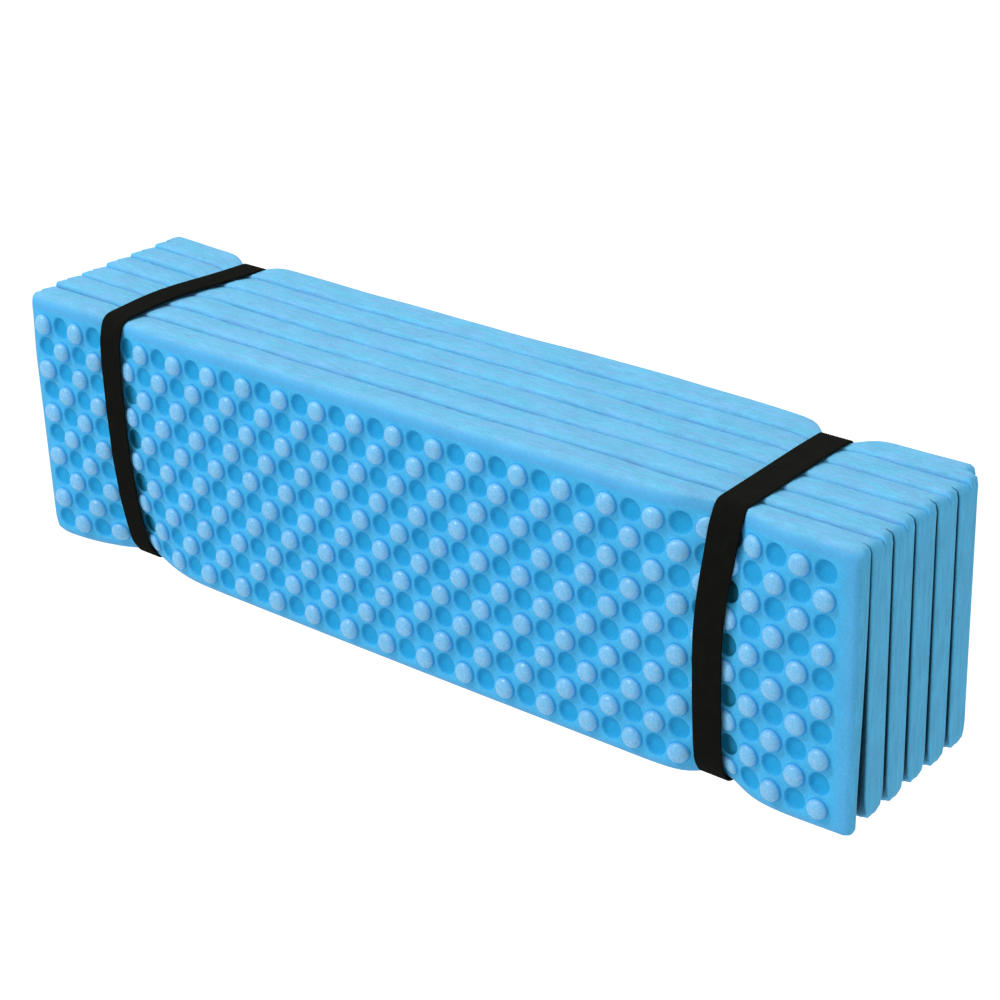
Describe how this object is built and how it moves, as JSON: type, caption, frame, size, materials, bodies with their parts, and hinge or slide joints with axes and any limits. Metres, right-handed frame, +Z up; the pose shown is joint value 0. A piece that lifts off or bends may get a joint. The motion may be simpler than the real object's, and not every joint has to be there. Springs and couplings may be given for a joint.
{
  "type": "folded foam sleeping pad",
  "caption": "Accordion-folded egg-crate foam sleeping pad, stowed as a long narrow bundle held by two elastic straps.",
  "frame": {"origin": "under the middle of the folded bundle, on the plane it stands on", "axes": "+X along the bundle towards its right end as seen from the front panel, +Y from the front panel to the back panel, +Z up"},
  "size_m": [0.57, 0.1144, 0.153],
  "materials": {
    "foam": "closed-cell foam skin, matt with a faint sheen",
    "foam_web": "foam pressed thin along the fold",
    "webbing": "ribbed woven elastic",
    "stitching": "thread"
  },
  "bodies": {
    "panel_01": {"panel_01": "foam"},
    "panel_02": {"panel_02": "foam", "fold_web_01_02": "foam_web"},
    "panel_03": {"panel_03": "foam", "fold_web_02_03": "foam_web"},
    "panel_04": {"panel_04": "foam", "fold_web_03_04": "foam_web"},
    "panel_05": {"panel_05": "foam", "fold_web_04_05": "foam_web"},
    "panel_06": {"panel_06": "foam", "fold_web_05_06": "foam_web", "fold_web_06_07": "foam_web"},
    "panel_07": {"panel_07": "foam", "fold_web_07_08": "foam_web"},
    "panel_08": {"panel_08": "foam", "fold_web_08_09": "foam_web"},
    "panel_09": {"panel_09": "foam", "fold_web_09_10": "foam_web"},
    "panel_10": {"panel_10": "foam", "fold_web_10_11": "foam_web"},
    "panel_11": {"panel_11": "foam", "fold_web_11_12": "foam_web"},
    "panel_12": {"panel_12": "foam"},
    "strap_left": {"strap_left": "webbing", "strap_left_lap": "webbing", "strap_left_stitch": "stitching"},
    "strap_right": {"strap_right": "webbing", "strap_right_lap": "webbing", "strap_right_stitch": "stitching"}
  },
  "joints": [
    {"name": "unfold", "type": "hinge", "parent": "panel_06", "child": "panel_07", "pos_m": [0, 0, 0.006], "axis": [-1, 0, 0], "range_deg": [0, 180]},
    {"name": "fold_01_02", "type": "hinge", "parent": "panel_02", "child": "panel_01", "pos_m": [0, -0.048, 0.1515], "axis": [-1, 0, 0], "range_deg": [0, 180]},
    {"name": "fold_02_03", "type": "hinge", "parent": "panel_03", "child": "panel_02", "pos_m": [0, -0.0384, 0.006], "axis": [1, 0, 0], "range_deg": [0, 180]},
    {"name": "fold_03_04", "type": "hinge", "parent": "panel_04", "child": "panel_03", "pos_m": [0, -0.0288, 0.1515], "axis": [-1, 0, 0], "range_deg": [0, 180]},
    {"name": "fold_04_05", "type": "hinge", "parent": "panel_05", "child": "panel_04", "pos_m": [0, -0.0192, 0.006], "axis": [1, 0, 0], "range_deg": [0, 180]},
    {"name": "fold_05_06", "type": "hinge", "parent": "panel_06", "child": "panel_05", "pos_m": [0, -0.0096, 0.1515], "axis": [-1, 0, 0], "range_deg": [0, 180]},
    {"name": "fold_07_08", "type": "hinge", "parent": "panel_07", "child": "panel_08", "pos_m": [0, 0.0096, 0.1515], "axis": [1, 0, 0], "range_deg": [0, 180]},
    {"name": "fold_08_09", "type": "hinge", "parent": "panel_08", "child": "panel_09", "pos_m": [0, 0.0192, 0.006], "axis": [-1, 0, 0], "range_deg": [0, 180]},
    {"name": "fold_09_10", "type": "hinge", "parent": "panel_09", "child": "panel_10", "pos_m": [0, 0.0288, 0.1515], "axis": [1, 0, 0], "range_deg": [0, 180]},
    {"name": "fold_10_11", "type": "hinge", "parent": "panel_10", "child": "panel_11", "pos_m": [0, 0.0384, 0.006], "axis": [-1, 0, 0], "range_deg": [0, 180]},
    {"name": "fold_11_12", "type": "hinge", "parent": "panel_11", "child": "panel_12", "pos_m": [0, 0.048, 0.1515], "axis": [1, 0, 0], "range_deg": [0, 180]},
    {"name": "strap_left_slide", "type": "slide", "parent": "panel_06", "child": "strap_left", "axis": [-1, 0, 0], "range_m": [0, 0.105], "deforming": ["strap_left", "strap_left_lap", "strap_left_stitch"]},
    {"name": "strap_right_slide", "type": "slide", "parent": "panel_06", "child": "strap_right", "axis": [1, 0, 0], "range_m": [0, 0.12], "deforming": ["strap_right", "strap_right_lap", "strap_right_stitch"]}
  ],
  "couplings": [
    {"joint": "fold_01_02", "follows": "unfold", "ratio": 1},
    {"joint": "fold_02_03", "follows": "unfold", "ratio": 1},
    {"joint": "fold_03_04", "follows": "unfold", "ratio": 1},
    {"joint": "fold_04_05", "follows": "unfold", "ratio": 1},
    {"joint": "fold_05_06", "follows": "unfold", "ratio": 1},
    {"joint": "fold_07_08", "follows": "unfold", "ratio": 1},
    {"joint": "fold_08_09", "follows": "unfold", "ratio": 1},
    {"joint": "fold_09_10", "follows": "unfold", "ratio": 1},
    {"joint": "fold_10_11", "follows": "unfold", "ratio": 1},
    {"joint": "fold_11_12", "follows": "unfold", "ratio": 1}
  ]
}
